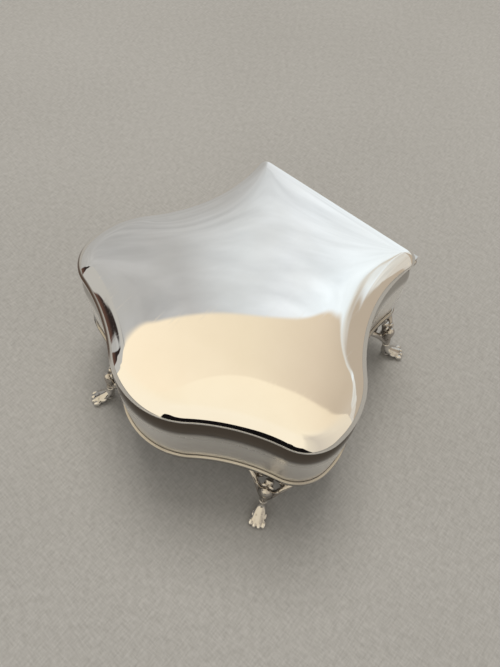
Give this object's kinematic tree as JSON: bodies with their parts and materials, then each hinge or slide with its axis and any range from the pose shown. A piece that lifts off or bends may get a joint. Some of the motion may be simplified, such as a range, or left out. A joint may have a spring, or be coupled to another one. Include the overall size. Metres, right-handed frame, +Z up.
{
  "type": "cufflink box",
  "caption": "Lobed silver cufflink box with a domed hinged lid, straight hinge side, velvet lining and cast paw feet under pierced scroll brackets.",
  "frame": {"origin": "on the surface that the feet stand on, under the middle of the box's outline", "axes": "+Z up, +Y towards the hinge at the back, +X to the right seen from the front lobe"},
  "size_m": [0.094, 0.09, 0.0501],
  "materials": {
    "polished_silver": "mirror polished silver with fine hand-rubbed scratches",
    "cast_silver": "cast silver, polished on the high places, darker in the hollows",
    "hinge_silver": "drawn silver tube and strip, lightly worn",
    "velvet": "dark blue velvet pile",
    "lining_card": "plain grey-brown card"
  },
  "bodies": {
    "body": {"base_plate": "polished_silver", "base_rim": "polished_silver", "body_wall": "polished_silver", "body_bezel": "polished_silver", "wall_lining": "velvet", "floor_board": "lining_card", "floor_pad": "velvet", "hinge_body_bearer": "hinge_silver", "hinge_knuckle_1": "hinge_silver", "hinge_knuckle_3": "hinge_silver", "hinge_knuckle_5": "hinge_silver", "hinge_knuckle_7": "hinge_silver", "hinge_pin": "hinge_silver", "foot_front_right": "cast_silver", "foot_front_left": "cast_silver", "foot_back_right": "cast_silver", "foot_back_left": "cast_silver"},
    "lid": {"lid_rim": "polished_silver", "lid_panel": "polished_silver", "lid_board": "lining_card", "lid_pad": "velvet", "hinge_lid_bearer": "hinge_silver", "hinge_knuckle_2": "hinge_silver", "hinge_knuckle_4": "hinge_silver", "hinge_knuckle_6": "hinge_silver"}
  },
  "joints": [
    {"name": "lid_hinge", "type": "hinge", "parent": "body", "child": "lid", "pos_m": [0, 0.04358, 0.04171], "axis": [-1, 0, 0], "range_deg": [0, 100]}
  ]
}
